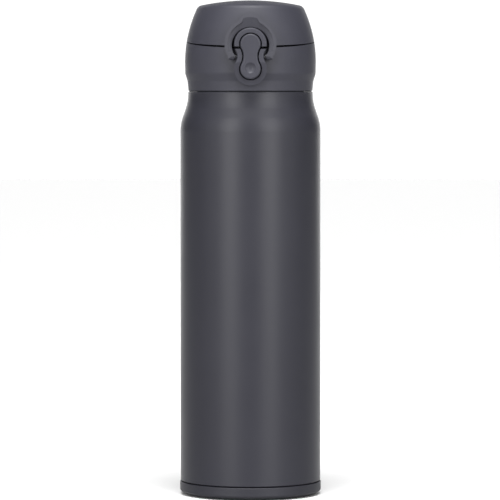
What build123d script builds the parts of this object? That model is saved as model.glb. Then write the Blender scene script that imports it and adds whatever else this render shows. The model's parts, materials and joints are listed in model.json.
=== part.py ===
from build123d import *
import os
from math import hypot

# Vacuum flask with a flip-up drinking lid, in millimetres.
# Z is up, the push button faces -Y and the lid hinge is at +Y.  The origin is the
# centre of the face that the flask stands on.
#
# The flask comes apart as: a double-walled steel bottle in a plastic base cover; a
# screwed cap unit (outer collar, stopper core, spout and seals); a flip lid on a
# sprung hinge; a push button that latches the lid; and a ring that locks the latch.

# ---------------------------------------------------------------- driving dimensions
body_r = 34.7            # painted steel body
height = 244.4           # top of the lid above the table
base_r = 35.0            # base cover
base_h = 6.1
steel = 0.35             # outer shell sheet
liner_steel = 0.3        # inner vessel sheet
vacuum_gap = 1.35
mouth_r = 22.5           # 45 mm drinking-flask mouth
neck_r = 25.5
ledge_z = 199.3          # top of the shoulder, just under the cap
lip_z = 213.8            # rim of the mouth

cap_z = 199.8            # underside of the cap's collar
cap_wall = 1.9
skirt_r = 30.67
barrel_r = 32.4          # widest part of the cap
barrel_z = 213.8
barrel_arc = 62.6        # radius of the cap's bulging side
dome_arc = 121.0         # radius of the lid's crown
corner_r = 3.3

split_z = 224.05         # the lid parts from the collar on a sloping plane
split_slope = 0.093
split_gap = 0.3
gap_y = -6.0             # from here the gap opens towards the front, for a fingertip
gap_slope = 0.015

pivot_y = -33.95         # cross pin of the push button and the lock ring
pivot_z = 216.35
lobe_rise = 6.02         # the button's two round ends, above and below the pin
lobe_r = 5.02
waist = 3.5              # half the button's narrowest width
face_y = -37.5           # front of the push button

hinge_y = 33.5           # lid hinge
hinge_z = 227.8

lead = 5.0               # cap thread, right-handed, one start
thread_turns = 1.5
clearance = 0.4

SPLIT = Plane(origin=(0, 0, split_z), x_dir=(1, 0, 0), z_dir=(0, -split_slope, 1))
gap_z = split_z + split_slope * gap_y
COLLAR_FRONT = Plane((0, gap_y, gap_z - split_gap / 2), x_dir=(1, 0, 0), z_dir=(0, -split_slope - gap_slope, 1))
LID_FRONT = Plane((0, gap_y, gap_z + split_gap / 2), x_dir=(1, 0, 0), z_dir=(0, gap_slope - split_slope, 1))


# ---------------------------------------------------------------- shared shapes
def cap_solid(grow):
    """The cap and lid as one plain solid, its skin moved outwards by grow."""
    lower = [(0, cap_z), (skirt_r + grow, cap_z), (31.15 + grow, 204.6), (32.28 + grow, 208.2)]
    with BuildPart() as solid:
        with BuildSketch(Plane.XZ) as half:
            with Locations((0, height - dome_arc)):
                Circle(dome_arc + grow)
            with Locations((barrel_r - barrel_arc, barrel_z)):
                Circle(barrel_arc + grow, mode=Mode.INTERSECT)
            with Locations((0, barrel_z)):
                Rectangle(100, 100, align=(Align.MIN, Align.MIN), mode=Mode.INTERSECT)
            fillet(half.vertices().sort_by(Axis.Y)[-2], corner_r + grow)
            with BuildLine():
                Polyline(*lower, (barrel_r + grow, barrel_z), (0, barrel_z), close=True)
            make_face()
            for _, z in lower[2:]:
                bend = half.vertices().filter_by_position(Axis.Y, z - 0.01, z + 0.01)
                fillet(bend, 4)
        revolve(axis=Axis.Z)
    return solid.part


def figure_eight(grow):
    """The push button's outline grown by grow, about the cross pin, on the current plane."""
    side = (lobe_rise**2 + waist**2 - lobe_r**2) / (2 * (lobe_r - waist))
    reach = waist + side
    span = hypot(reach, lobe_rise)
    tangent_x = (lobe_r + grow) * reach / span
    tangent_z = lobe_rise - (lobe_r + grow) * lobe_rise / span
    tip = lobe_rise + lobe_r + grow
    inner = waist + grow
    ends = [(-tangent_x, tangent_z), (tangent_x, tangent_z), (tangent_x, -tangent_z), (-tangent_x, -tangent_z)]
    with BuildSketch() as outline:
        with BuildLine():
            ThreePointArc(ends[0], (0, tip), ends[1])
            ThreePointArc(ends[1], (inner, 0), ends[2])
            ThreePointArc(ends[2], (0, -tip), ends[3])
            ThreePointArc(ends[3], (-inner, 0), ends[0])
        make_face()
    return outline.sketch


def tabbed_circle(radius, tab_radius, rise, blend):
    """A circle about the origin with a round tab above it, blended in, on the current plane."""
    near, far = radius + blend, tab_radius + blend
    up = (near**2 - far**2 + rise**2) / (2 * rise)
    out = (near**2 - up**2) ** 0.5
    ring_x, ring_z = out * radius / near, up * radius / near
    tab_x, tab_z = out * tab_radius / far, rise + (up - rise) * tab_radius / far
    with BuildSketch() as outline:
        with BuildLine():
            ThreePointArc((-ring_x, ring_z), (0, -radius), (ring_x, ring_z))
            RadiusArc((ring_x, ring_z), (tab_x, tab_z), blend)
            ThreePointArc((tab_x, tab_z), (0, rise + tab_radius), (-tab_x, tab_z))
            RadiusArc((-tab_x, tab_z), (-ring_x, ring_z), blend)
        make_face()
    return outline.sketch


def x_cylinder(radius, x_from, x_to, y, z):
    """A round bar along X, as a plain solid."""
    with BuildPart() as bar:
        with BuildSketch(Plane.YZ.offset(x_from)):
            with Locations((y, z)):
                Circle(radius)
        extrude(amount=x_to - x_from)
    return bar.part


def thread_ridge(root_r, crest_r, z_start, turns):
    """A helical ridge of trapezoid section, starting at +X."""
    root_half, crest_half = 0.85, 0.5
    with BuildPart() as ridge:
        with BuildLine() as path:
            Helix(lead, lead * turns, root_r, center=(0, 0, z_start))
        with BuildSketch(Plane.XZ):
            with BuildLine():
                Polyline(
                    (root_r, z_start - root_half),
                    (crest_r, z_start - crest_half),
                    (crest_r, z_start + crest_half),
                    (root_r, z_start + root_half),
                    close=True,
                )
            make_face()
        sweep(path=path.wires()[0], is_frenet=True)
    return ridge.part


def tube(outer, inner, z_from, z_to):
    """A plain ring about Z, or a disc if inner is zero."""
    with BuildPart() as ring:
        with BuildSketch(Plane.XY.offset(z_from)):
            Circle(outer)
            if inner > 0:
                Circle(inner, mode=Mode.SUBTRACT)
        extrude(amount=z_to - z_from)
    return ring.part


cap_skin = cap_solid(0)
cap_inside = cap_solid(-cap_wall)

# ---------------------------------------------------------------- bottle
foot_in = 1.35           # the shell steps in where the base cover goes round it
shell_foot_z = 2.6
shell_in = body_r - steel
vessel_out = shell_in - vacuum_gap
vessel_in = vessel_out - liner_steel
vessel_floor_z = 9.0
vessel_shoulder = (178.0, 195.0)
lip_edge = mouth_r + liner_steel + 0.03

# Painted outer shell: body, shoulder, ledge and rolled-thread neck in one drawn sheet.
with BuildPart() as outer_shell:
    with BuildSketch(Plane.XZ) as shell_half:
        shell_points = [
            (body_r - foot_in, shell_foot_z),
            (body_r - foot_in, base_h + 0.2),
            (body_r, base_h + 0.7),
            (body_r, 183.4),
            (30.86, 194.5),
            (30.86, ledge_z),
            (neck_r, ledge_z),
            (neck_r, lip_z),
            (lip_edge, lip_z),
        ]
        with BuildLine() as shell_line:
            Polyline(*shell_points)
            rounds = {0.3: shell_points[1:3], 21.0: shell_points[3:5], 0.6: [shell_points[5]], 0.9: shell_points[6:8]}
            for radius, corners in rounds.items():
                for x, z in corners:
                    here = shell_line.vertices().filter_by(lambda v: abs(v.X - x) + abs(v.Y - z) < 0.01)
                    fillet(here, radius)
            offset(amount=-steel, side=Side.LEFT, closed=True)
        make_face()
    revolve(axis=Axis.Z)
    add(thread_ridge(neck_r - 0.2, neck_r + 1.0, 203.4, thread_turns))
outer_shell.part.label = "outer_shell"

# Dished steel disc that closes the shell, with the port that the air is drawn through.
port_r = 1.2
base_plate_r = shell_in - foot_in - 0.05
with BuildPart() as outer_base:
    with BuildSketch(Plane.XZ):
        with BuildLine():
            Polyline(
                (port_r, 5.3),
                (14.0, 5.3),
                (16.5, 2.9),
                (base_plate_r, 2.9),
                (base_plate_r, 6.3),
                (base_plate_r - steel, 6.3),
                (base_plate_r - steel, 2.9 + steel),
                (16.7, 2.9 + steel),
                (14.2, 5.3 + steel),
                (port_r, 5.3 + steel),
                close=True,
            )
        make_face()
    revolve(axis=Axis.Z)
outer_base.part.label = "outer_base"

# Solder pellet that seals the port.
with BuildPart() as vacuum_seal:
    with BuildSketch(Plane.XZ):
        with BuildLine():
            Polyline((0, 5.25), (0, 4.0), (2.4, 4.0), (3.2, 4.6), (3.2, 5.25), close=True)
        make_face()
    revolve(axis=Axis.Z)
vacuum_seal.part.label = "vacuum_seal"

# Inner vessel: floor, wall, shoulder and mouth.
with BuildPart() as inner_vessel:
    with BuildSketch(Plane.XZ):
        vessel_points = [
            (0, vessel_floor_z),
            (vessel_out, vessel_floor_z),
            (vessel_out, vessel_shoulder[0]),
            (mouth_r + liner_steel, vessel_shoulder[1]),
            (mouth_r + liner_steel, lip_z),
        ]
        with BuildLine() as vessel_line:
            Polyline(*vessel_points)
            for (x, z), radius in zip(vessel_points[1:4], (7.0, 9.0, 5.0)):
                here = vessel_line.vertices().filter_by(lambda v: abs(v.X - x) + abs(v.Y - z) < 0.01)
                fillet(here, radius)
            offset(amount=-liner_steel, side=Side.LEFT, closed=True)
        make_face()
    revolve(axis=Axis.Z)
inner_vessel.part.label = "inner_vessel"

# Metal foil round the vessel, which keeps radiant heat in.
foil_r = vessel_out + 0.15
radiation_foil = tube(foil_r + 0.12, foil_r, 17.0, 172.0)
radiation_foil.label = "radiation_foil"

# Getter pellet in its clip, under the vessel floor in the vacuum.
with BuildPart() as getter_clip:
    with BuildSketch(Plane.XY.offset(8.6)):
        SlotOverall(22, 7)
    extrude(amount=0.35)
    with BuildSketch(Plane.XY.offset(6.9)):
        Circle(4.4)
        Circle(4.05, mode=Mode.SUBTRACT)
    extrude(amount=1.75)
getter_clip.part.label = "getter_clip"
getter = tube(4.0, 1.0, 7.0, 8.5)
getter.label = "getter"

# Moulded base cover and the adhesive ring that holds it.
floor_t = 1.5
edge_in, edge_rise = 5.8, 2.2    # the soft rounding under its rim
with BuildPart() as base_cover:
    with BuildSketch(Plane.XZ):
        with BuildLine():
            edge = EllipticalCenterArc((base_r - edge_in, edge_rise), edge_in, edge_rise, start_angle=270, arc_size=90)
            Polyline((0, 0.9), (21.5, 0.9), (22.4, 0), edge @ 0)
            Polyline(
                edge @ 1,
                (base_r, base_h),
                (base_r - 1.5, base_h),
                (base_r - 1.5, floor_t),
                (22.4, floor_t),
                (21.5, 0.9 + floor_t),
                (0, 0.9 + floor_t),
                (0, 0.9),
            )
        make_face()
    revolve(axis=Axis.Z)
    outer_edges = base_cover.edges().filter_by(GeomType.CIRCLE).filter_by(lambda e: abs(e.radius - base_r) < 0.01)
    fillet(outer_edges.sort_by(Axis.Z)[-1], 0.3)
base_cover.part.label = "base_cover"
adhesive_ring = tube(31.5, 25.5, floor_t + 0.02, shell_foot_z + 0.25)
adhesive_ring.label = "adhesive_ring"

# ---------------------------------------------------------------- cap unit
plug_out, plug_in = 19.2, 17.6
collar_out, collar_in = 28.0, neck_r + 1.0 + clearance
core_top = 216.3
plug_foot_z = 195.5
seal_z = (196.9, 199.4)

# Stopper core: threaded collar, top plate and the plug that goes down into the mouth.
with BuildPart() as stopper_core:
    with BuildSketch(Plane.XZ):
        with BuildLine():
            Polyline(
                (plug_in, plug_foot_z),
                (20.4, plug_foot_z),
                (20.4, seal_z[0] - 0.15),
                (plug_out, seal_z[0] - 0.15),
                (plug_out, core_top - 1.3),
                (collar_in, core_top - 1.3),
                (collar_in, 202.0),
                (collar_out, 202.0),
                (collar_out, core_top),
                (plug_in, core_top),
                close=True,
            )
        make_face()
    revolve(axis=Axis.Z)
    add(thread_ridge(collar_in + 0.2, neck_r + clearance, 203.4 + lead / 2, 1.3))
    lip = stopper_core.edges().filter_by(GeomType.CIRCLE).filter_by(lambda e: abs(e.radius - 20.4) < 0.01)
    fillet(lip.sort_by(Axis.Z)[0], 0.5)
stopper_core.part.label = "stopper_core"

# Silicone seal on the plug, with two lips that press on the mouth's wall.
with BuildPart() as stopper_gasket:
    with BuildSketch(Plane.XZ):
        with BuildLine():
            Polyline(
                (plug_out + 0.1, seal_z[0]),
                (21.6, seal_z[0]),
                (mouth_r - 0.15, seal_z[0] + 0.5),
                (mouth_r - 0.15, seal_z[0] + 0.9),
                (21.4, seal_z[0] + 1.25),
                (mouth_r - 0.15, seal_z[0] + 1.6),
                (mouth_r - 0.15, seal_z[0] + 2.0),
                (21.6, seal_z[1]),
                (plug_out + 0.1, seal_z[1]),
                close=True,
            )
        make_face()
    revolve(axis=Axis.Z)
stopper_gasket.part.label = "stopper_gasket"

# Spout: a tube in the plug, a flange on the core and the mouthpiece above the deck.
spout_tube = 17.0
spout_rim_r = 10.3
spout_top = 235.4
spout_bore = 7.2
groove_z = (209.2, 211.2)
with BuildPart() as spout:
    with BuildSketch(Plane.XZ) as spout_half:
        with BuildLine():
            Polyline(
                (15.2, 207.0),
                (spout_tube, 207.0),
                (spout_tube, groove_z[0]),
                (spout_tube - 0.7, groove_z[0]),
                (spout_tube - 0.7, groove_z[1]),
                (spout_tube, groove_z[1]),
                (spout_tube, core_top + 0.1),
                (20.5, core_top + 0.1),
                (20.5, core_top + 1.3),
                (spout_tube + 0.2, core_top + 1.3),
                (spout_tube - 0.2, 224.6),
                (13.4, 227.2),
                (9.9, 229.6),
                (spout_rim_r, spout_top),
                (spout_bore, spout_top),
                (spout_bore, 229.0),
                (12.2, 225.2),
                (15.2, 222.6),
                close=True,
            )
        make_face()
        for z, radius in ((224.6, 1.4), (227.2, 3.0), (229.6, 1.6), (229.0, 2.0)):
            fillet(spout_half.vertices().filter_by_position(Axis.Y, z - 0.01, z + 0.01), radius)
        rim = spout_half.vertices().filter_by_position(Axis.Y, spout_top - 0.01, spout_top + 0.01)
        fillet(rim, 1.3)
    revolve(axis=Axis.Z)
    # Air hole behind the drinking hole.
    with BuildSketch(Plane.XY.offset(214)):
        with Locations((0, 13.6)):
            Circle(1.1)
    extrude(amount=16, mode=Mode.SUBTRACT)
spout.part.label = "spout"
spout_gasket = tube(plug_in - 0.05, spout_tube - 0.65, groove_z[0] + 0.1, groove_z[1] - 0.1)
spout_gasket.label = "spout_gasket"

# Collar: the cap's fixed outer cover, its sloping deck, the wall round the push button
# and the rear hinge lugs.
pin_r = 0.9
arm_w = 2.95             # the wall round the button, outside its gap
button_gap = 0.55
arm_face_y = -37.0
arm_round = 0.8
pocket_y = -30.9
deck_drop = 2.0
deck_t = 1.7
barrel_hinge_r = 3.0
lug_x = (9.4, 13.2)
spring_r = 1.5
spring_wire = 0.22
spring_seat_y = -29.4
low_lobe_z = pivot_z - lobe_rise
top_lobe_z = pivot_z + lobe_rise

with BuildPart() as collar_deck:
    add(cap_solid(-cap_wall / 2))
    split(bisect_by=SPLIT.offset(-deck_drop), keep=Keep.BOTTOM)
    split(bisect_by=SPLIT.offset(-deck_drop - deck_t), keep=Keep.TOP)

with BuildPart() as deck_rib:
    add(tube(24.8, 23.6, core_top + 0.1, split_z + 5))
    split(bisect_by=SPLIT.offset(-deck_drop - deck_t / 2), keep=Keep.BOTTOM)

# Wall round the push button, sloping back below it.
with BuildPart() as button_wall:
    with BuildSketch(Plane.XZ.offset(-spring_seat_y)):
        with Locations((0, pivot_z)):
            add(figure_eight(arm_w))
    extrude(amount=spring_seat_y - arm_face_y)
    fillet(button_wall.faces().sort_by(Axis.Y)[0].edges(), arm_round)
    with BuildSketch(Plane.YZ.offset(-12)):
        with BuildLine():
            Polyline((arm_face_y - 1, 213.5), (arm_face_y, 213.5), (-33.0, 200.5), (arm_face_y - 1, 200.5), close=True)
        make_face()
    extrude(amount=24, mode=Mode.SUBTRACT)

with BuildPart() as collar:
    add(cap_skin)
    add(cap_inside, mode=Mode.SUBTRACT)
    split(bisect_by=SPLIT.offset(-split_gap / 2), keep=Keep.BOTTOM)
    add(collar_deck.part)
    add(deck_rib.part)
    add(button_wall.part)
    split(bisect_by=SPLIT.offset(-split_gap / 2), keep=Keep.BOTTOM)
    split(bisect_by=COLLAR_FRONT, keep=Keep.BOTTOM)
    # Lip inside the foot of the skirt, down to the bottle's ledge.
    add(tube(skirt_r - 0.8, skirt_r - cap_wall, ledge_z + 0.15, cap_z + 0.5))
    # Clear the drinking spout, then everything that grew inside the stopper core.
    add(tube(spout_tube + 0.9, 0, core_top + 0.05, split_z + 5), mode=Mode.SUBTRACT)
    # Pocket for the button, and the seat of its spring.
    with BuildSketch(Plane.XZ.offset(-pocket_y)):
        with Locations((0, pivot_z)):
            add(figure_eight(button_gap))
    extrude(amount=10, mode=Mode.SUBTRACT)
    with BuildSketch(Plane.XZ.offset(28.5)):
        with Locations((0, low_lobe_z)):
            Circle(2.6)
    extrude(amount=1.5)
    with BuildSketch(Plane.XZ.offset(-spring_seat_y)):
        with Locations((0, low_lobe_z)):
            Circle(spring_r + spring_wire + 0.15)
    extrude(amount=10, mode=Mode.SUBTRACT)
    add(x_cylinder(pin_r + 0.02, -12, 12, pivot_y, pivot_z), mode=Mode.SUBTRACT)
    # Hinge lugs on a fairing that runs down the back of the collar.
    with BuildSketch(Plane.YZ.offset(-lug_x[1])) as fairing:
        with BuildLine():
            Polyline((29.2, 225.5), (29.2, 214.0), (32.2, 215.5), (36.5, 224.5), (36.5, hinge_z), (31.0, hinge_z), close=True)
        make_face()
        fillet(fairing.vertices().filter_by_position(Axis.Y, 224.4, 224.6), 3)
        with Locations((hinge_y, hinge_z)):
            Circle(barrel_hinge_r)
    extrude(amount=2 * lug_x[1])
    add(x_cylinder(barrel_hinge_r + clearance, -lug_x[0] + 0.2, lug_x[0] - 0.2, hinge_y, hinge_z), mode=Mode.SUBTRACT)
    with BuildSketch(Plane.XY.offset(hinge_z - 0.6)):
        with Locations((0, hinge_y)):
            Rectangle(2 * lug_x[0] - 0.4, 12)
    extrude(amount=8, mode=Mode.SUBTRACT)
    add(x_cylinder(1.27, -20, 20, hinge_y, hinge_z), mode=Mode.SUBTRACT)
collar.part.label = "collar"

# ---------------------------------------------------------------- lid
hinge_pin_r = 1.25
cavity_r = 2.4
cavity_x = 4.9

# Catch rib: the half ring that the lock ring closes over.
with BuildPart() as catch_rib:
    with BuildSketch(Plane.XZ.offset(29.6)):
        with Locations((0, top_lobe_z)):
            Circle(lobe_r + arm_w)
    extrude(amount=-arm_face_y - 29.6)
    fillet(catch_rib.faces().sort_by(Axis.Y)[0].edges(), arm_round)
    with BuildSketch(Plane.XZ.offset(29.6)):
        with Locations((0, top_lobe_z)):
            Circle(lobe_r + button_gap)
    extrude(amount=10, mode=Mode.SUBTRACT)

with BuildPart() as lid_shell:
    add(cap_skin)
    add(cap_inside, mode=Mode.SUBTRACT)
    add(catch_rib.part)
    # Hinge barrel and the web that carries it.
    add(x_cylinder(barrel_hinge_r, -lug_x[0] + 0.4, lug_x[0] - 0.4, hinge_y, hinge_z))
    with BuildSketch(Plane.YZ.offset(-lug_x[0] + 0.4)):
        with BuildLine():
            Polyline((28.95, 226.0), (28.95, 233.0), (hinge_y, hinge_z + barrel_hinge_r), (hinge_y, 226.0), close=True)
        make_face()
    extrude(amount=2 * lug_x[0] - 0.8)
    add(cap_inside, mode=Mode.SUBTRACT)
    split(bisect_by=SPLIT.offset(split_gap / 2), keep=Keep.TOP)
    split(bisect_by=LID_FRONT, keep=Keep.TOP)
    add(x_cylinder(barrel_hinge_r, -lug_x[0] + 0.4, lug_x[0] - 0.4, hinge_y, hinge_z))
    for side in (-1, 1):
        inner, outer = sorted((side * (lug_x[0] - 0.4), side * (lug_x[1] + 0.3)))
        add(x_cylinder(barrel_hinge_r + clearance, inner, outer, hinge_y, hinge_z), mode=Mode.SUBTRACT)
    add(x_cylinder(hinge_pin_r + 0.06, -20, 20, hinge_y, hinge_z), mode=Mode.SUBTRACT)
    add(x_cylinder(cavity_r, -cavity_x, cavity_x, hinge_y, hinge_z), mode=Mode.SUBTRACT)
    # Window for the button's claw.
    with BuildSketch(Plane.XZ.offset(27)):
        with Locations((0, 226.0)):
            Rectangle(5.0, 3.4)
    extrude(amount=8, mode=Mode.SUBTRACT)
lid_shell.part.label = "lid_shell"

# Liner: thin moulding inside the lid, with the cup that holds the spout seal.
liner_t = 1.2
cup_out = 9.2
cup_floor = 237.0
liner_skin = cap_solid(-cap_wall - 0.15)
liner_hollow = cap_solid(-cap_wall - 0.15 - liner_t)
with BuildPart() as lid_liner:
    add(liner_skin)
    add(liner_hollow, mode=Mode.SUBTRACT)
    split(bisect_by=SPLIT.offset(0.9), keep=Keep.TOP)
    add(tube(cup_out, 0, cup_floor, height - 3.0))
    add(tube(cup_out - 1.2, 0, cup_floor + 1.0, height), mode=Mode.SUBTRACT)
    # Room for the claw's window and the spout's rim of the hinge web.
    with BuildSketch(Plane.XZ.offset(26)):
        with Locations((0, 225.5)):
            Rectangle(6.4, 6.4)
    extrude(amount=8, mode=Mode.SUBTRACT)
lid_liner.part.label = "lid_liner"

# Silicone seal that closes the drinking hole.
with BuildPart() as lid_gasket:
    with BuildSketch(Plane.XZ) as gasket_half:
        with BuildLine():
            Polyline(
                (0, 233.2),
                (5.2, 233.2),
                (6.2, 234.4),
                (6.2, spout_top + 0.2),
                (10.9, spout_top + 0.2),
                (10.9, cup_floor + 2.2),
                (cup_out + 0.1, cup_floor + 2.2),
                (cup_out + 0.1, cup_floor - 0.05),
                (0, cup_floor - 0.05),
                close=True,
            )
        make_face()
        fillet(gasket_half.vertices().filter_by_position(Axis.Y, 234.3, 234.5), 0.6)
    revolve(axis=Axis.Z)
lid_gasket.part.label = "lid_gasket"

with BuildPart() as hinge_pin:
    add(x_cylinder(hinge_pin_r, -lug_x[1] + 0.2, lug_x[1] - 0.2, hinge_y, hinge_z))
    chamfer(hinge_pin.edges(), 0.25)
hinge_pin.part.label = "hinge_pin"

# Torsion spring that throws the lid open.
hinge_coil_r = 1.85
hinge_wire = 0.3
coil_turns = 8
coil_pitch = 0.85
coil_start = -coil_turns * coil_pitch / 2
with BuildPart() as hinge_spring:
    with BuildLine() as coil_path:
        Helix(
            coil_pitch,
            coil_pitch * coil_turns,
            hinge_coil_r,
            center=(coil_start, hinge_y, hinge_z),
            direction=(1, 0, 0),
        )
    coil_wire = coil_path.wires()[0]
    with BuildSketch(Plane(coil_wire @ 0, z_dir=coil_wire % 0)):
        Circle(hinge_wire)
    sweep(path=coil_wire, is_frenet=True)
hinge_spring.part.label = "hinge_spring"

# ---------------------------------------------------------------- latch
button_back_y = -33.3
claw_low_z = top_lobe_z + 2.3
claw_tip_y = -30.5

# Push button: a rocker on the cross pin, with the claw that holds the lid.
with BuildPart() as push_button:
    with BuildSketch(Plane.XZ.offset(-button_back_y)):
        with Locations((0, pivot_z)):
            add(figure_eight(0))
    extrude(amount=button_back_y - face_y)
    front_face = push_button.faces().sort_by(Axis.Y)[0]
    fillet(front_face.edges(), 0.9)
    add(x_cylinder(2.0, -waist, waist, pivot_y, pivot_z))
    with BuildSketch(Plane.YZ.offset(-1.9)):
        with BuildLine():
            Polyline(
                (button_back_y - 0.5, claw_low_z - 1.6),
                (button_back_y - 0.5, claw_low_z + 2.3),
                (claw_tip_y - 0.6, claw_low_z + 1.9),
                (claw_tip_y, claw_low_z + 0.7),
                (claw_tip_y, claw_low_z),
                (button_back_y + 0.6, claw_low_z),
                close=True,
            )
        make_face()
    extrude(amount=3.8)
    add(x_cylinder(pin_r + 0.06, -10, 10, pivot_y, pivot_z), mode=Mode.SUBTRACT)
    with BuildSketch(Plane.XZ.offset(28)):
        with Locations((0, low_lobe_z)):
            Circle(spring_r + spring_wire + 0.15)
    extrude(amount=6.4, mode=Mode.SUBTRACT)
    # Thumb dimple.
    dimple_r, dimple_depth = 2.6, 0.95
    ball_r = (dimple_r**2 + dimple_depth**2) / (2 * dimple_depth)
    with Locations((0, face_y - ball_r + dimple_depth, low_lobe_z + 0.5)):
        Sphere(ball_r, mode=Mode.SUBTRACT)
push_button.part.label = "push_button"

with BuildPart() as cross_pin:
    add(x_cylinder(pin_r, -10.6, 10.6, pivot_y, pivot_z))
    chamfer(cross_pin.edges(), 0.2)
cross_pin.part.label = "cross_pin"

# Compression spring behind the button's lower end.
spring_from, spring_to = 29.45, 34.3
spring_turns = 5
spring_pitch = (spring_to - spring_from - 2 * spring_wire) / spring_turns
with BuildPart() as button_spring:
    with BuildLine() as spring_path:
        Helix(
            spring_pitch,
            spring_pitch * spring_turns,
            spring_r,
            center=(0, -spring_from - spring_wire, low_lobe_z),
            direction=(0, -1, 0),
        )
    spring_line = spring_path.wires()[0]
    with BuildSketch(Plane(spring_line @ 0, z_dir=spring_line % 0)):
        Circle(spring_wire)
    sweep(path=spring_line, is_frenet=True)
button_spring.part.label = "button_spring"

# Lock ring: a hooked ring with a finger tab, on the same cross pin.
ring_out, ring_in = 12.6, 9.1
ring_drop = 0.75         # the opening's centre is this far below the outline's
ring_back, ring_front = 0.4, 4.6
hub_r = 1.75
hub_x = 9.3
tab_r = 5.4
tab_z = 232.8
tab_blend = 1.6
rim = 1.5                # raised rim round the dished front
dish_r = 55.0
dish_foot_z = 218.7
ring_inside = cap_solid(ring_back)
ring_outside = cap_solid(ring_front)
with BuildPart() as foot_relief:
    with BuildSketch(Plane.XY.offset(pivot_z)):
        with Locations((0, pivot_y)):
            Rectangle(40, 30)
    extrude(amount=-10)
    add(x_cylinder(hub_r, -20, 20, pivot_y, pivot_z), mode=Mode.SUBTRACT)

# Space that the wall round the button sweeps as the ring turns about it.
with BuildPart() as swing_room:
    with BuildSketch(Plane.XZ.offset(-pivot_y)):
        with Locations((0, pivot_z)):
            add(figure_eight(arm_w + 0.35))
        with Locations((0, pivot_z)):
            Rectangle(40, 20, align=(Align.CENTER, Align.MAX), mode=Mode.SUBTRACT)
    revolve(axis=Axis((0, pivot_y, pivot_z), (1, 0, 0)))

# Dish that leaves a raised rim, so that a fingertip finds the tab.
with BuildPart() as ring_dish:
    with BuildSketch(Plane.XZ.offset(30)):
        with Locations((0, top_lobe_z)):
            add(tabbed_circle(ring_out - rim, tab_r - rim, tab_z - top_lobe_z, tab_blend + rim))
        with Locations((0, dish_foot_z)):
            Rectangle(40, 20, align=(Align.CENTER, Align.MAX), mode=Mode.SUBTRACT)
    extrude(amount=10)
    with Locations((0, -88.0, 228.7)):
        Sphere(dish_r, mode=Mode.INTERSECT)

with BuildPart() as lock_ring:
    with BuildSketch(Plane.XZ.offset(22)):
        with Locations((0, top_lobe_z)):
            add(tabbed_circle(ring_out, tab_r, tab_z - top_lobe_z, tab_blend))
        with Locations((0, top_lobe_z - ring_drop)):
            Circle(ring_in, mode=Mode.SUBTRACT)
        with Locations((0, pivot_z + 0.4)):
            Rectangle(40, 20, align=(Align.CENTER, Align.MAX), mode=Mode.SUBTRACT)
        for side in (-1, 1):
            with Locations((side * hub_x, pivot_z)):
                Circle(hub_r)
    extrude(amount=18)
    add(ring_outside, mode=Mode.INTERSECT)
    add(ring_inside, mode=Mode.SUBTRACT)
    add(ring_dish.part, mode=Mode.SUBTRACT)
    add(foot_relief.part, mode=Mode.SUBTRACT)
    add(swing_room.part, mode=Mode.SUBTRACT)
    add(x_cylinder(pin_r + 0.06, -20, 20, pivot_y, pivot_z), mode=Mode.SUBTRACT)
lock_ring.part.label = "lock_ring"

# ---------------------------------------------------------------- export
parts = [
    outer_shell.part,
    outer_base.part,
    vacuum_seal.part,
    inner_vessel.part,
    radiation_foil,
    getter_clip.part,
    getter,
    base_cover.part,
    adhesive_ring,
    stopper_core.part,
    stopper_gasket.part,
    spout.part,
    spout_gasket,
    collar.part,
    lid_shell.part,
    lid_liner.part,
    lid_gasket.part,
    hinge_pin.part,
    hinge_spring.part,
    push_button.part,
    cross_pin.part,
    button_spring.part,
    lock_ring.part,
]
os.makedirs("parts", exist_ok=True)
for part in parts:
    export_step(part, f"parts/{part.label}.step")
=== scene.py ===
import json
import math
import bpy
import bmesh
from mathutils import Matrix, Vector


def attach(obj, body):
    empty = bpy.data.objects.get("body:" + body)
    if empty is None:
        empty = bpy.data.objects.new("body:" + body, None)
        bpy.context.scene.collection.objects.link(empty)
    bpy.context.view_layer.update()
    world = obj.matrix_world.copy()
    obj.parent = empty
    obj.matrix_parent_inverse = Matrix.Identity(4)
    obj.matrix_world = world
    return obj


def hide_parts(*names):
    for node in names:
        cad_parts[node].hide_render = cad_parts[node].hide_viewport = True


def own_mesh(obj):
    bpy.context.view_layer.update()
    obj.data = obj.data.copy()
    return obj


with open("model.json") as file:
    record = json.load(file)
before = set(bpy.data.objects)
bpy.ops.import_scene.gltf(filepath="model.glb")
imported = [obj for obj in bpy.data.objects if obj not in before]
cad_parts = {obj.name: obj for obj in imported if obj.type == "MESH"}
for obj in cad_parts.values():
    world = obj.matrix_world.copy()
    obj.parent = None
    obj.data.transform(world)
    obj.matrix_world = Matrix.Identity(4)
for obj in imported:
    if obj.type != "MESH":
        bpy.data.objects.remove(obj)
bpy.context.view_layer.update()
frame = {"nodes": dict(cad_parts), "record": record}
nodes = frame["nodes"]
scene = bpy.context.scene
scene.view_settings.view_transform = "Standard"
scene.view_settings.look = "None"

# ------------------------------------------------------------------ camera
CAMERA_BACK = 1.6592
CAMERA_HEIGHT = 0.19943
CAMERA_TILT = 2.712
CAMERA_SIDE = -0.00023
LENS = 240.98

camera_data = bpy.data.cameras.new("photo_camera")
camera_data.sensor_width = 36.0
camera_data.lens = LENS
camera_data.clip_start = 0.05
camera_data.clip_end = 50.0
camera = bpy.data.objects.new("photo_camera", camera_data)
camera.location = (CAMERA_SIDE, -CAMERA_BACK, CAMERA_HEIGHT)
camera.rotation_euler = (math.radians(90.0 - CAMERA_TILT), 0.0, 0.0)
scene.collection.objects.link(camera)
scene.camera = camera


# ------------------------------------------------------------------ node helpers
MIX_COLOUR_A, MIX_COLOUR_B = 6, 7   # the Mix node's two colour sockets
FLOW_LOW, FLOW_HIGH = 0.3, 0.7      # the part of a noise's range that is stretched


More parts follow.
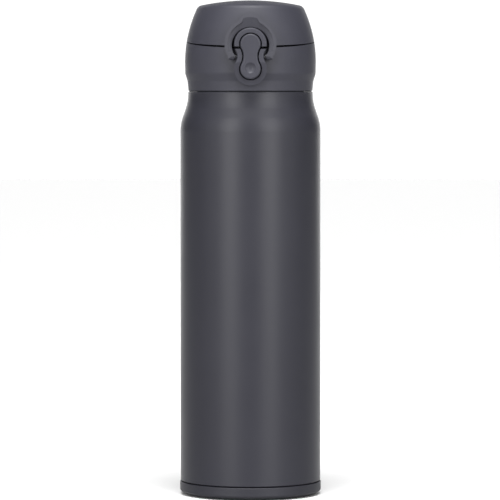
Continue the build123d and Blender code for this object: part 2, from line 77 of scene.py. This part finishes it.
def new_material(name):
    mat = bpy.data.materials.new(name)
    mat.use_nodes = True
    tree = mat.node_tree
    tree.nodes.clear()
    out = tree.nodes.new("ShaderNodeOutputMaterial")
    return mat, tree, out


def add_node(tree, kind, **values):
    node = tree.nodes.new(kind)
    for key, value in values.items():
        if key in node.inputs:
            node.inputs[key].default_value = value
        else:
            setattr(node, key, value)
    return node


def noise(tree, coords, scale, detail=2.0, rough=0.5):
    node = add_node(tree, "ShaderNodeTexNoise", Scale=scale, Detail=detail, Roughness=rough)
    tree.links.new(coords, node.inputs["Vector"])
    return node.outputs["Fac"]


def ranged(tree, value, low, high, to_low, to_high):
    node = add_node(tree, "ShaderNodeMapRange")
    node.inputs["From Min"].default_value = low
    node.inputs["From Max"].default_value = high
    node.inputs["To Min"].default_value = to_low
    node.inputs["To Max"].default_value = to_high
    tree.links.new(value, node.inputs["Value"])
    return node.outputs["Result"]


def two_tone(tree, value, colour_a, colour_b):
    node = add_node(tree, "ShaderNodeMix", data_type="RGBA")
    node.inputs[MIX_COLOUR_A].default_value = (*colour_a, 1.0)
    node.inputs[MIX_COLOUR_B].default_value = (*colour_b, 1.0)
    tree.links.new(value, node.inputs[0])
    return node.outputs[2]


def bumps(tree, layers):
    """A chain of bump nodes: each layer is (height socket, strength, distance)."""
    last = None
    for height, strength, distance in layers:
        node = add_node(tree, "ShaderNodeBump", Strength=strength, Distance=distance)
        tree.links.new(height, node.inputs["Height"])
        if last is not None:
            tree.links.new(last, node.inputs["Normal"])
        last = node.outputs["Normal"]
    return last


def coordinates(tree, stretch=(1.0, 1.0, 1.0)):
    source = tree.nodes.new("ShaderNodeTexCoord")
    mapping = tree.nodes.new("ShaderNodeMapping")
    mapping.inputs["Scale"].default_value = stretch
    tree.links.new(source.outputs["Object"], mapping.inputs["Vector"])
    return mapping.outputs["Vector"]


def moulded(name, colour, rough, grain=2600.0, spec=0.14, spread=0.12):
    """Moulded plastic: a fine eroded grain, faint flow marks and uneven gloss."""
    mat, tree, out = new_material(name)
    shader = add_node(tree, "ShaderNodeBsdfPrincipled", Metallic=0.0)
    shader.inputs["Specular IOR Level"].default_value = spec
    here = coordinates(tree)
    flow = noise(tree, here, 38.0, 3.0, 0.55)
    fine = noise(tree, here, grain, 3.0, 0.6)
    pores = noise(tree, here, grain * 0.36, 2.0, 0.5)
    low = tuple(c * (1.0 - spread) for c in colour)
    high = tuple(c * (1.0 + spread) for c in colour)
    mixed = add_node(tree, "ShaderNodeMath", operation="MULTIPLY_ADD")
    tree.links.new(fine, mixed.inputs[0])
    mixed.inputs[1].default_value = 0.45
    tree.links.new(ranged(tree, flow, FLOW_LOW, FLOW_HIGH, 0.0, 0.55), mixed.inputs[2])
    tree.links.new(two_tone(tree, mixed.outputs[0], low, high), shader.inputs["Base Color"])
    gloss = ranged(tree, flow, FLOW_LOW, FLOW_HIGH, rough - 0.03, rough + 0.04)
    tree.links.new(gloss, shader.inputs["Roughness"])
    normal = bumps(tree, [(pores, 0.35, GRAIN_DEPTH), (fine, 0.5, GRAIN_DEPTH)])
    tree.links.new(normal, shader.inputs["Normal"])
    tree.links.new(shader.outputs[0], out.inputs["Surface"])
    return mat


def metal(name, colour, rough, marks=(1.0, 1.0, 90.0), scale=60.0, depth=0.000004):
    """Bare metal with fine turning marks running round it."""
    mat, tree, out = new_material(name)
    shader = add_node(tree, "ShaderNodeBsdfPrincipled", Metallic=1.0)
    here = coordinates(tree)
    along = coordinates(tree, marks)
    lines = noise(tree, along, scale, 4.0, 0.6)
    cloud = noise(tree, here, 55.0, 3.0, 0.5)
    low = tuple(c * 0.86 for c in colour)
    tree.links.new(two_tone(tree, lines, low, colour), shader.inputs["Base Color"])
    gloss = ranged(tree, cloud, FLOW_LOW, FLOW_HIGH, rough - 0.05, rough + 0.07)
    tree.links.new(gloss, shader.inputs["Roughness"])
    normal = bumps(tree, [(lines, 0.5, depth)])
    tree.links.new(normal, shader.inputs["Normal"])
    tree.links.new(shader.outputs[0], out.inputs["Surface"])
    return mat


# ------------------------------------------------------------------ materials
GRAIN_DEPTH = 0.00002
SLATE = (0.0120, 0.0120, 0.0156)
CAP_SLATE = (0.0180, 0.0180, 0.0234)

cap_plastic = moulded("cap_plastic", CAP_SLATE, 0.50)
button_plastic = moulded("button_plastic", CAP_SLATE, 0.47)
ring_plastic = moulded("ring_plastic", (0.0160, 0.0160, 0.0208), 0.50)
base_plastic = moulded("base_plastic", (0.0110, 0.0110, 0.0143), 0.46)
inner_plastic = moulded("inner_plastic", (0.022, 0.022, 0.026), 0.42, grain=1800.0)
silicone = moulded("silicone", (0.24, 0.24, 0.25), 0.58, grain=1500.0, spread=0.06)
adhesive = moulded("adhesive", (0.55, 0.5, 0.4), 0.5, grain=700.0)
steel = metal("steel", (0.62, 0.62, 0.63), 0.26)
pin_steel = metal("pin_steel", (0.055, 0.055, 0.06), 0.42, marks=(60.0, 1.0, 1.0))
spring_steel = metal("spring_steel", (0.45, 0.45, 0.47), 0.28)
foil = metal("foil", (0.8, 0.8, 0.82), 0.18, marks=(1.0, 1.0, 4.0), scale=300.0, depth=0.00002)
getter_metal = metal("getter_metal", (0.18, 0.18, 0.19), 0.6, marks=(1.0, 1.0, 1.0), scale=2500.0)
# Near-black material for the ring in the joint under the cap: painted shade for the seam's shadow gap.
seam_shade_black = moulded("seam_shade_black", (0.003, 0.003, 0.0035), 0.6, spec=0.05)
seal_metal = metal("seal_metal", (0.42, 0.42, 0.44), 0.4, marks=(1.0, 1.0, 1.0), scale=900.0)

PAINT_TOP = 0.1995     # the paint ends just above the shoulder's ledge
PAINT_FADE = 0.0002
PAINT_SPECULAR = 0.14


def painted_steel():
    """Satin powder paint on the shell, ending at the ledge under the cap; bare steel above."""
    mat, tree, out = new_material("body_paint")
    here = coordinates(tree)
    paint = add_node(tree, "ShaderNodeBsdfPrincipled", Metallic=0.0)
    paint.inputs["Specular IOR Level"].default_value = PAINT_SPECULAR
    flow = noise(tree, here, 26.0, 3.0, 0.5)
    peel = noise(tree, here, 520.0, 2.0, 0.5)
    powder = noise(tree, here, 3400.0, 3.0, 0.6)
    mixed = add_node(tree, "ShaderNodeMath", operation="MULTIPLY_ADD")
    tree.links.new(powder, mixed.inputs[0])
    mixed.inputs[1].default_value = 0.6
    tree.links.new(ranged(tree, flow, FLOW_LOW, FLOW_HIGH, 0.0, 0.4), mixed.inputs[2])
    low = tuple(c * 0.88 for c in SLATE)
    high = tuple(c * 1.12 for c in SLATE)
    tree.links.new(two_tone(tree, mixed.outputs[0], low, high), paint.inputs["Base Color"])
    tree.links.new(ranged(tree, flow, FLOW_LOW, FLOW_HIGH, 0.36, 0.40), paint.inputs["Roughness"])
    normal = bumps(tree, [(peel, 0.25, 0.000012), (powder, 0.4, 0.000008)])
    tree.links.new(normal, paint.inputs["Normal"])

    bare = add_node(tree, "ShaderNodeBsdfPrincipled", Metallic=1.0)
    lines = noise(tree, coordinates(tree, (1.0, 1.0, 70.0)), 50.0, 4.0, 0.6)
    tree.links.new(two_tone(tree, lines, (0.52, 0.52, 0.53), (0.64, 0.64, 0.65)), bare.inputs["Base Color"])
    tree.links.new(ranged(tree, lines, FLOW_LOW, FLOW_HIGH, 0.24, 0.34), bare.inputs["Roughness"])
    tree.links.new(bumps(tree, [(lines, 0.4, 0.000004)]), bare.inputs["Normal"])

    split = tree.nodes.new("ShaderNodeSeparateXYZ")
    tree.links.new(here, split.inputs[0])
    edge = ranged(tree, split.outputs["Z"], PAINT_TOP, PAINT_TOP + PAINT_FADE, 0.0, 1.0)
    blend = tree.nodes.new("ShaderNodeMixShader")
    tree.links.new(edge, blend.inputs[0])
    tree.links.new(paint.outputs[0], blend.inputs[1])
    tree.links.new(bare.outputs[0], blend.inputs[2])
    tree.links.new(blend.outputs[0], out.inputs["Surface"])
    return mat


body_paint = painted_steel()

finishes = {
    "body_paint": body_paint,
    "steel": steel,
    "seal_metal": seal_metal,
    "foil": foil,
    "getter_metal": getter_metal,
    "base_plastic": base_plastic,
    "adhesive": adhesive,
    "inner_plastic": inner_plastic,
    "silicone": silicone,
    "cap_plastic": cap_plastic,
    "button_plastic": button_plastic,
    "ring_plastic": ring_plastic,
    "pin_steel": pin_steel,
    "spring_steel": spring_steel,
}
for entry in frame["record"]["subparts"]:
    shape = nodes[entry["node"]]
    shape.data.materials.clear()
    shape.data.materials.append(finishes[entry["material_slot"]])


# ------------------------------------------------------------------ joint line under the cap
def turned(name, profile, segments=192):
    """A ring: a closed (radius, z) profile swept round the Z axis."""
    mesh = bpy.data.meshes.new(name)
    made = bmesh.new()
    rows = []
    for i in range(segments):
        a = 2.0 * math.pi * i / segments
        rows.append([made.verts.new((r * math.cos(a), r * math.sin(a), z)) for r, z in profile])
    for i, row in enumerate(rows):
        beside = rows[(i + 1) % segments]
        for j in range(len(profile)):
            k = (j + 1) % len(profile)
            made.faces.new((row[j], beside[j], beside[k], row[k]))
    bmesh.ops.recalc_face_normals(made, faces=made.faces)
    made.to_mesh(mesh)
    made.free()
    obj = bpy.data.objects.new(name, mesh)
    scene.collection.objects.link(obj)
    return obj


# A thin near-black ring fills the joint between the collar and the ledge: painted shade, standing in for
# the shadow in the seam's gap.
SHADE_RING_IN, SHADE_RING_OUT = 0.02995, 0.03030
SHADE_RING_LOW, SHADE_RING_HIGH = 0.19933, 0.19977
seam_shade_ring = turned(
    "seam_shade_ring", [(SHADE_RING_IN, SHADE_RING_LOW), (SHADE_RING_OUT, SHADE_RING_LOW), (SHADE_RING_OUT, SHADE_RING_HIGH), (SHADE_RING_IN, SHADE_RING_HIGH)]
)
seam_shade_ring.data.materials.append(seam_shade_black)
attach(seam_shade_ring, "cap")

# A copy of the button's spring, with its own mesh, rides with the cap; the imported spring is hidden.
button_coil = bpy.data.objects.new("button_coil", nodes["button_spring"].data.copy())
scene.collection.objects.link(button_coil)
button_coil.data.shade_smooth()
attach(button_coil, "cap")
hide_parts("button_spring")
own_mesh(button_coil)


# ------------------------------------------------------------------ floor
FLOOR_RADIUS = 6.0
FLOOR_Z = -0.0002
FLOOR_ROUGHNESS = 0.6
FLOOR_SPECULAR = 0.6
PAPER_LOW, PAPER_HIGH = (0.35, 0.35, 0.35), (0.37, 0.37, 0.37)


def disc(name, radius, z):
    mesh = bpy.data.meshes.new(name)
    made = bmesh.new()
    bmesh.ops.create_circle(made, cap_ends=True, radius=radius, segments=128)
    made.to_mesh(mesh)
    made.free()
    obj = bpy.data.objects.new(name, mesh)
    obj.location.z = z
    scene.collection.objects.link(obj)
    return obj


floor_mat, floor_tree, floor_out = new_material("floor_white")
floor_shader = add_node(floor_tree, "ShaderNodeBsdfPrincipled", Roughness=FLOOR_ROUGHNESS)
floor_grain = noise(floor_tree, coordinates(floor_tree), 90.0, 3.0, 0.5)
paper = two_tone(floor_tree, floor_grain, PAPER_LOW, PAPER_HIGH)
floor_tree.links.new(paper, floor_shader.inputs["Base Color"])
floor_shader.inputs["Specular IOR Level"].default_value = FLOOR_SPECULAR
floor_tree.links.new(floor_shader.outputs[0], floor_out.inputs["Surface"])
floor = disc("studio_floor", FLOOR_RADIUS, FLOOR_Z)
floor.data.materials.append(floor_mat)


# ------------------------------------------------------------------ light
def softbox(name, position, target, width, height, power):
    data = bpy.data.lights.new(name, "AREA")
    data.shape = "RECTANGLE"
    data.size = width
    data.size_y = height
    data.energy = power
    obj = bpy.data.objects.new(name, data)
    obj.location = position
    obj.rotation_euler = (Vector(target) - Vector(position)).to_track_quat("-Z", "Y").to_euler()
    scene.collection.objects.link(obj)


def around(azimuth, distance, height):
    a = math.radians(azimuth)
    return (math.sin(a) * distance, -math.cos(a) * distance, height)


LIGHT_DISTANCE = 1.6
LIGHT_HEIGHT = 0.60
LIGHT_TARGET = (0, 0, 0.14)
BOX_TALL = 1.2
for label, azimuth, wide, watts in (
    ("left_box", -33.0, 0.75, 38.0),
    ("left_wing", -66.0, 0.7, 4.5),
    ("right_box", 33.0, 0.75, 38.0),
    ("right_wing", 66.0, 0.7, 4.5),
    ("rear_left_box", -158.0, 0.75, 5.0),
    ("rear_right_box", 158.0, 0.75, 5.0),
):
    softbox(label, around(azimuth, LIGHT_DISTANCE, LIGHT_HEIGHT), LIGHT_TARGET, wide, BOX_TALL, watts)

SUN_STRENGTH = 9.4
SUN_SPREAD = 35.0
SUN_LEAN = 18.0        # from straight above, towards the front
key_data = bpy.data.lights.new("top_sun", "SUN")
key_data.energy = SUN_STRENGTH
key_data.angle = math.radians(SUN_SPREAD)
key = bpy.data.objects.new("top_sun", key_data)
key.rotation_euler = (math.radians(SUN_LEAN), 0.0, 0.0)
scene.collection.objects.link(key)

# A dim room, with a white backdrop behind the flask as seen from the front.
ROOM_TONE = (0.05, 0.05, 0.05, 1.0)
BACKDROP_TONE = (1.15, 1.15, 1.15, 1.0)
BACKDROP_EDGE, BACKDROP_FULL = 0.93, 0.985

world = bpy.data.worlds.new("studio")
scene.world = world
world.use_nodes = True
sky = world.node_tree
sky.nodes.clear()
sky_out = sky.nodes.new("ShaderNodeOutputWorld")
sky_light = sky.nodes.new("ShaderNodeBackground")
direction = sky.nodes.new("ShaderNodeTexCoord")
parts_of = sky.nodes.new("ShaderNodeSeparateXYZ")
sky.links.new(direction.outputs["Generated"], parts_of.inputs[0])
behind = ranged(sky, parts_of.outputs["Y"], BACKDROP_EDGE, BACKDROP_FULL, 0.0, 1.0)
tone = add_node(sky, "ShaderNodeMix", data_type="RGBA")
tone.inputs[MIX_COLOUR_A].default_value = ROOM_TONE
tone.inputs[MIX_COLOUR_B].default_value = BACKDROP_TONE
sky.links.new(behind, tone.inputs[0])
sky.links.new(tone.outputs[2], sky_light.inputs["Color"])
sky.links.new(sky_light.outputs[0], sky_out.inputs["Surface"])

# ------------------------------------------------------------------ finish
for obj in nodes.values():
    obj.data.shade_smooth()
